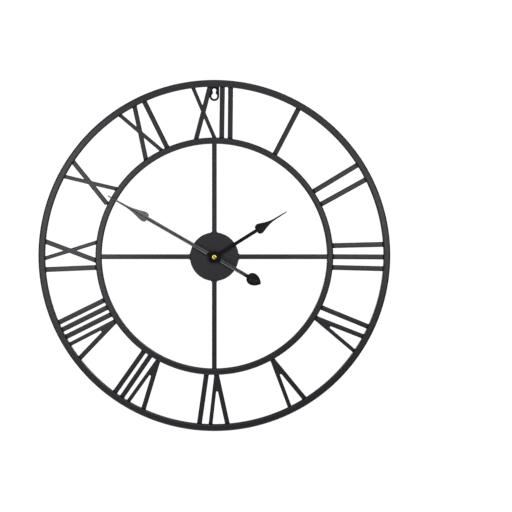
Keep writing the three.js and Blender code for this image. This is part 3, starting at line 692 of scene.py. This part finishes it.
def add_hand(node, hand, edge, clock_angle, body):
    """A stamped hand: the same relief on the front and hollow behind, at the sheet's thickness."""
    back, front = span(node)
    rows = []
    for bare, along in edge:
        half = bare + min(COAT, MOST_COAT * bare)
        inset, xs = across_hand(half)
        drops = [inset * EDGE_POINT if i in (0, len(xs) - 1) else 0 for i in range(len(xs))]
        heights = [hand_height(hand, x, along, half) for x in xs]
        row = [(-half, along, front - inset)]
        row += [(x, along, front - d + h) for x, d, h in zip(xs, drops, heights)]
        row += [(half, along, front - inset), (half, along, back + inset)]
        row += [(x, along, back + d + h) for x, d, h in reversed(list(zip(xs, drops, heights)))]
        row.append((-half, along, back + inset))
        rows.append(row)
    count = len(rows[0])
    points = [(*turn((x, y), clock_angle), depth) for row in rows for x, y, depth in row]
    faces = []
    for i in range(len(rows) - 1):
        for k in range(count):
            m = (k + 1) % count
            faces.append((i * count + k, i * count + m, (i + 1) * count + m, (i + 1) * count + k))
    last = (len(rows) - 1) * count
    faces.append(tuple(range(count)))
    faces.append(tuple(last + k for k in reversed(range(count))))
    sheet = carve(mesh_of(node, points, faces), [rod(hand["bore"], back - PAST, front + PAST)])
    piece(node + "_finished", sheet, "hand_coat", body, [node], sharp=11)


def add_hands():
    """Both hands at their rest angles, and the nut that holds them."""
    hand = HOUR_HAND
    edge = boss_edge(hand["arm"], hand["boss"], True) + spade_edge(hand)
    add_hand("hour_hand", hand, edge, REST["hour"], "hour_train")
    hand = MINUTE_HAND
    edge = leaf_edge(hand["arm"], hand["boss"]) + boss_edge(hand["arm"], hand["boss"], False)
    add_hand("minute_hand", hand, edge + spade_edge(hand), REST["minute"], "minute_train")
    add_minute_nut()


def add_minute_nut():
    """A round domed nut, and in its bore the end of the shaft, with a slot along the minute hand."""
    back, front = span("minute_nut")
    bore, rim = 2.0, 3.9
    end = front - 0.25
    nut = [(bore, back), (rim - 0.2, back), (rim, back + 0.2), (rim, front - 1.0)]
    for t in (0, 0.15, 0.3, 0.5, 0.7, 0.85, 1):
        nut.append((rim - 0.05 - 1.65 * t, front - 0.55 * (1 - t) ** 1.6))
    nut.append((bore, end))
    piece("minute_nut_finished", lathe("minute_nut", nut, 96), "brass", "minute_train", ["minute_nut"])
    tip = [(0, back + 1), (1.9, back + 1), (1.9, end - 0.5), (1.6, end - 0.15), (0.9, end), (0, end)]
    outline = [turn(p, REST["minute"]) for p in rounded_box(-0.5, -2.2, 0.5, 2.2, 0.3, 4)]
    slot = plate("slot", [outline], end - 0.9, end + 0.5, edge=0.02, steps=0)
    piece("minute_shaft_end", carve(lathe("tip", tip, 64), [slot]), "brass", "minute_train")


# ---------- movement ----------
def block(x0, y0, x1, y1, back, front, corner=0.5):
    """A box with rounded upright edges, to cut with."""
    loop = rounded_box(x0, y0, x1, y1, corner, 3)
    return prism("block", [(x, y, back) for x, y in loop], [(x, y, front) for x, y in loop])


def add_case():
    """The case's front: hollow for the wheels and the battery, with recesses for clips in its sides."""
    half, corner = CASE["half"], CASE["corner"]
    back, front = span("movement_case_front")
    outline = rounded_box(-half, -half, half, half, corner, 8)
    shell = plate("case", [outline], back, front, edge=0.8, steps=3)
    inside = half - CASE["wall"]
    bay = BAY["half"]
    cutters = [block(-inside, WHEEL_FLOOR, inside, inside, back - PAST, front - CASE["front_wall"], 2.5),
               block(-bay, BAY["bottom"], bay, BAY["top"], back - PAST, front - 1.25, 1),
               rod(BUSH_HOLE, front - 3, front + PAST)]
    for x in (-half, half):
        for y in (-17, 14):
            cutters.append(block(x - 0.6, y - 4, x + 0.6, y + 4, back + 1.6, back + 4.4, 0.3))
    low, high = front - 0.35, front + PAST
    cutters.append(lathe("groove", [(11.2, low), (11.8, low), (11.8, high), (11.2, high)], 72))
    piece("movement_case_front_finished", carve(shell, cutters), "case_plastic",
          instead_of=["movement_case_front"])
    add_case_back(half, corner)


def add_case_back(half, corner):
    """The cover: an opening for the battery, a hole for the knob, and recessed marks."""
    front = span("movement_case_back")[1]
    hole = circle(5.5, REVERSE_ARBOR, 72)
    opening = rounded_box(-25.6, -26.1, 25.6, -11.4, 0.8, 4)
    outline = rounded_box(-half, -half, half, half, corner, 8)
    cover = plate("cover", [outline, hole, opening], 0, CASE["cover"], edge=0.35, steps=3)
    deep = 0.35
    minus, plus = -21.5, 21.5
    marks = [block(x - 1.8, -9.0, x + 1.8, -8.3, -PAST, deep, 0.1) for x in (minus, plus)]
    marks.append(block(21.15, -10.45, 21.85, -6.85, -PAST, deep, 0.1))
    line = [rounded_box(-26.6, -26.9, 26.6, -10.9, 1.2, 4), rounded_box(-26.2, -26.7, 26.2, -11.1, 1, 4)]
    marks.append(plate("line", line, -PAST, 0.25, edge=0.02, steps=0))
    for start in (20, 200):
        marks.append(turning_arrow(start, deep))
    cover = carve(cover, marks)
    bosses = [lathe("boss", [(0.6, 1.4), (1.5, 1.4), (1.5, front), (0.6, front)], 24, centre)
              for centre in ARBORS]
    piece("movement_case_back_finished", join_meshes("cover", [cover] + bosses), "case_plastic",
          instead_of=["movement_case_back"])


def turning_arrow(start, deep):
    """A curved arrow beside the knob. Its shaft is 50 degrees long and its head 14 more."""
    middle, line, head = 7.5, 0.4, 1.4
    end = start + 50
    loop = arc(REVERSE_ARBOR, middle + line, start, end, 10)
    loop += [polar(middle + head, end, REVERSE_ARBOR), polar(middle, end + 14, REVERSE_ARBOR)]
    loop += [polar(middle - head, end, REVERSE_ARBOR)]
    loop += arc(REVERSE_ARBOR, middle - line, end, start, 10)
    return plate("arrow", [loop], -PAST, deep, edge=0.02, steps=0)


def add_knob():
    """A fluted knob with a slot across it and a ring-shaped groove."""
    back, front = span("setting_knob")
    radius, flute, flutes = 5, 0.28, 24
    steps = flutes * 6
    outline = []
    for i in range(steps):
        a = 360 * i / steps
        dip = 0.5 + 0.5 * cos(radians(a * flutes))
        outline.append(polar(radius - flute * dip ** 2, a, REVERSE_ARBOR))
    x, y = REVERSE_ARBOR
    knob = plate("knob", [outline], back, front, steps=3)
    low, high = back - PAST, back + 0.3
    cutters = [block(x - 3.4, y - 0.6, x + 3.4, y + 0.6, low, back + 1.1, 0.55),
               lathe("groove", [(3.9, low), (4.15, low), (4.15, high), (3.9, high)], 72, REVERSE_ARBOR)]
    piece("setting_knob_finished", carve(knob, cutters), "case_plastic", "setting_train", ["setting_knob"])


def add_battery():
    """An AA cell in a two-tone sleeve, the rim of which is shrunk over both ends."""
    b = BATTERY
    axis = (b["y"], b["depth"])
    start = -(b["body"] + b["nub"]) / 2
    end = start + b["body"]
    r, rim = b["radius"], b["rim"]
    band = end - b["collar"]

    def corner(x, inward):
        return [(r - rim + rim * cos(radians(t)), x + inward * rim * (1 - sin(radians(t))))
                for t in range(0, 91, 15)]

    sleeve = [(r - 0.25, band), (r, band)] + corner(start, 1)
    sleeve += [(r - 1.4, start), (r - 1.4, start + 0.3), (r - 0.25, start + 0.8)]
    piece("battery_sleeve", lathe("sleeve", sleeve, 72, axis, True), "battery_sleeve", "battery_cell",
          ["battery"])
    collar = [(r - 0.25, band), (r, band)] + corner(end, -1)
    collar += [(r - 1.4, end), (r - 1.4, end - 0.3), (r - 0.25, end - 0.8)]
    made = piece("battery_collar", lathe("collar", collar, 72, axis, True), "battery_sleeve",
                 "battery_cell", ["battery"])
    made.data.materials[0] = MATERIAL["battery_collar"]
    nub, top = b["nub_radius"], end + b["nub"]
    can = [(0, start + 0.25), (3.5, start + 0.25), (3.9, start + 0.15), (r - 1.2, start + 0.15),
           (r - 0.3, start + 0.9), (r - 0.3, end - 0.9), (r - 1.2, end - 0.2), (nub + 0.5, end - 0.2),
           (nub, end), (nub, top - 0.3), (nub - 0.3, top), (0, top)]
    piece("battery_can", lathe("can", can, 72, axis, True), "plated_steel", "battery_cell", ["battery"])


def sheet_box(x0, x1, y0, y1, d0, d1, corner=0.8):
    """A thin upright plate across x, with rounded corners."""
    loop = rounded_box(y0, d0, y1, d1, corner, 4)
    return prism("sheet", [(x0, y, d) for y, d in loop], [(x1, y, d) for y, d in loop])


def add_contacts():
    """Spring-steel contacts: a plate with a raised button, and a plate with a flat spiral."""
    y, depth = BATTERY["y"], BATTERY["depth"]
    button = [(0, 25.62), (1.2, 25.62), (1.9, 25.9), (1.9, 26.0), (0, 26.0)]
    plus = join_meshes("plus", [sheet_box(25.85, 26.2, -23, -14.6, 3, 13),
                                lathe("button", button, 32, (y, depth), True)])
    piece("battery_contact_plus_finished", plus, "plated_steel", instead_of=["battery_contact_plus"])
    minus = join_meshes("minus", [sheet_box(-26.2, -25.98, -24, -13.6, 3, 13), spiral(-25.84, y, depth)])
    piece("battery_contact_minus_finished", minus, "plated_steel", instead_of=["battery_contact_minus"])


def spiral(x, y, depth):
    """A flat spiral of round wire across x, from its inner to its outer end."""
    turns, steps, sides = 2.5, 100, 8
    inner, wider, wire = 1.2, 2.9, 0.22
    points = []
    for i in range(steps + 1):
        a = 2 * pi * turns * i / steps
        r = inner + wider * i / steps
        for k in range(sides):
            t = 2 * pi * k / sides
            out = r + wire * cos(t)
            points.append((x + wire * sin(t), y + out * cos(a), depth + out * sin(a)))
    faces = []
    for i in range(steps):
        here, there = i * sides, (i + 1) * sides
        for k in range(sides):
            m = (k + 1) % sides
            faces.append((here + k, here + m, there + m, there + k))
    faces += [tuple(reversed(range(sides))), tuple(steps * sides + k for k in range(sides))]
    return mesh_of("spiral", points, faces)


def add_fixing():
    """What holds the movement to the plate: bush, washers and hexagon nut. The hour hand's collet too."""
    back, front = span("threaded_bush")
    hole, root, thread, flange = 2.8, 3.65, 4, 6
    bush = [(hole, back), (flange - 0.2, back), (flange, back + 0.2), (flange, back + 1.15),
            (thread, back + 1.15)]
    pitch = 0.75
    groove = 15.6
    while groove + pitch < front:
        bush += [(root, groove), (thread, groove + pitch / 2)]
        groove += pitch
    bush += [(root, front), (hole, front)]
    piece("threaded_bush_finished", lathe("bush", bush, 64), "brass", instead_of=["threaded_bush"])
    for node, outer, edge, slot in (("rubber_washer", 10, 0.4, "rubber"),
                                    ("brass_washer", 8, 0.12, "brass")):
        back, front = span(node)
        section = rounded_box(BUSH_HOLE, back, outer, front, edge, 4)
        piece(node + "_finished", lathe(node, section, 96), slot, instead_of=[node])
    back, front = span("hex_nut")
    corners = [polar(HEX, 60 * n) for n in range(6)]
    blank = plate("hex", [corners, circle(3.9, steps=48)], back, front, edge=0.1)
    cone = [(0, back - 0.1), (6.3, back - 0.1), (HEX + 0.1, back + 0.55), (HEX + 0.1, front - 0.55),
            (6.3, front + 0.1), (0, front + 0.1)]
    nut = carve(blank, [lathe("cone", cone, 96)], "INTERSECT")
    piece("hex_nut_finished", nut, "brass", instead_of=["hex_nut"])
    back, front = span("hour_hand_collet")
    collet = [(2.8, back), (5.3, back), (5.5, back + 0.2), (5.5, 25.9), (5.3, 26.1), (3.6, 26.1),
              (3.6, front - 0.25), (3.35, front), (2.8, front)]
    piece("hour_hand_collet_finished", lathe("collet", collet, 72), "brass", "hour_train",
          ["hour_hand_collet"])


def add_kept_nodes():
    """The CAD nodes that stay as they are get a procedural material."""
    slots = {s["node"]: s["material_slot"] for s in frame["record"]["subparts"]}
    for node, made in frame["nodes"].items():
        if not made.hide_render:
            made.data.materials.clear()
            made.data.materials.append(MATERIAL[slots[node]])


# ---------- floor, light and background ----------
def add_floor():
    """A plain pale floor below the hanging clock. Its sizes are in metres."""
    half = 1.2
    height = -1.8
    mesh = bpy.data.meshes.new("floor")
    corners = [(-half, -half, height), (half, -half, height), (half, half, height), (-half, half, height)]
    mesh.from_pydata(corners, [], [(0, 1, 2, 3)])
    floor = bpy.data.objects.new("floor", mesh)
    bpy.context.scene.collection.objects.link(floor)
    pale = procedural("pale floor", grey(0.88), grey(0.90), (0.85, 0.95), patch=2, grain=60, bump=0.02)
    shader = pale.node_tree.nodes["Principled BSDF"]
    shader.inputs["Emission Color"].default_value = (1, 1, 1, 1)
    shader.inputs["Emission Strength"].default_value = 1.0
    mesh.materials.append(pale)


STUDIO_GLOW = 0.02  # brightness of the studio's walls, which is all that the surfaces see of the background
# Each softbox: where it stands and what it faces, in metres, its width and height, and its power in watts.
SOFTBOXES = {
    "left": ((-0.27, -0.40, 0.055), (-0.1, 0, 0), (0.16, 0.40), 0.65),
    "right": ((0.35, -0.76, 0.045), (0.1, 0, 0), (0.15, 0.15), 0.88),
    "upper right": ((0.40, -3.05, 1.24), (-0.08, 0, 0.05), (0.55, 0.55), 15),
    "lower left": ((-0.89, -2.77, -1.75), (-0.08, 0, 0.05), (0.41, 0.41), 10.2),
    "top": ((0, 0.1, 1.5), (0, 0, 0), (1.4, 1.0), 8),
    "back left": ((1.1, 1.9, 0.9), (0, 0, 0), (1.0, 1.0), 30),
    "back right": ((-1.2, 1.7, 0.3), (0, 0, 0), (0.8, 1.2), 21),
}


def add_lights():
    """The studio's softboxes, which the camera doesn't see."""
    for name, (place, aim, size, power) in SOFTBOXES.items():
        light = bpy.data.lights.new(name + " softbox", "AREA")
        light.shape = "RECTANGLE"
        light.size, light.size_y = size
        light.energy = power
        softbox = bpy.data.objects.new(light.name, light)
        bpy.context.scene.collection.objects.link(softbox)
        softbox.location = place
        softbox.rotation_euler = (Vector(aim) - Vector(place)).to_track_quat("-Z", "Y").to_euler()
        softbox.visible_camera = False


def add_background():
    """White where the camera looks past the clock, and a dim studio for its light and reflections."""
    world = bpy.data.worlds.new("studio")
    bpy.context.scene.world = world
    world.use_nodes = True
    nodes, links = world.node_tree.nodes, world.node_tree.links
    nodes.clear()
    seen = nodes.new("ShaderNodeBackground")
    seen.inputs["Color"].default_value = (1, 1, 1, 1)
    seen.inputs["Strength"].default_value = 1.05
    lit = nodes.new("ShaderNodeBackground")
    lit.inputs["Color"].default_value = (0.95, 0.97, 1, 1)
    lit.inputs["Strength"].default_value = STUDIO_GLOW
    ray = nodes.new("ShaderNodeLightPath")
    mix = nodes.new("ShaderNodeMixShader")
    out = nodes.new("ShaderNodeOutputWorld")
    links.new(ray.outputs["Is Camera Ray"], mix.inputs[0])
    links.new(lit.outputs[0], mix.inputs[1])
    links.new(seen.outputs[0], mix.inputs[2])
    links.new(mix.outputs[0], out.inputs["Surface"])
    bpy.context.scene.view_settings.view_transform = "Standard"


# ---------- assembly ----------
add_camera()
MATERIAL = make_materials()
ring("outer_ring", OUTER_BAR, OUTER_COAT, 288)
ring("inner_ring", INNER_BAR, COAT, 240)
add_numerals([n for n in frame["nodes"] if n.startswith("numeral_")])
for number, spoke in enumerate(("spoke_top", "spoke_right", "spoke_bottom", "spoke_left")):
    add_spoke(spoke, 90 * number)
add_centre_plate()
add_hanger()
add_hands()
add_case()
add_knob()
add_battery()
add_contacts()
add_fixing()
add_kept_nodes()
add_floor()
add_lights()
add_background()
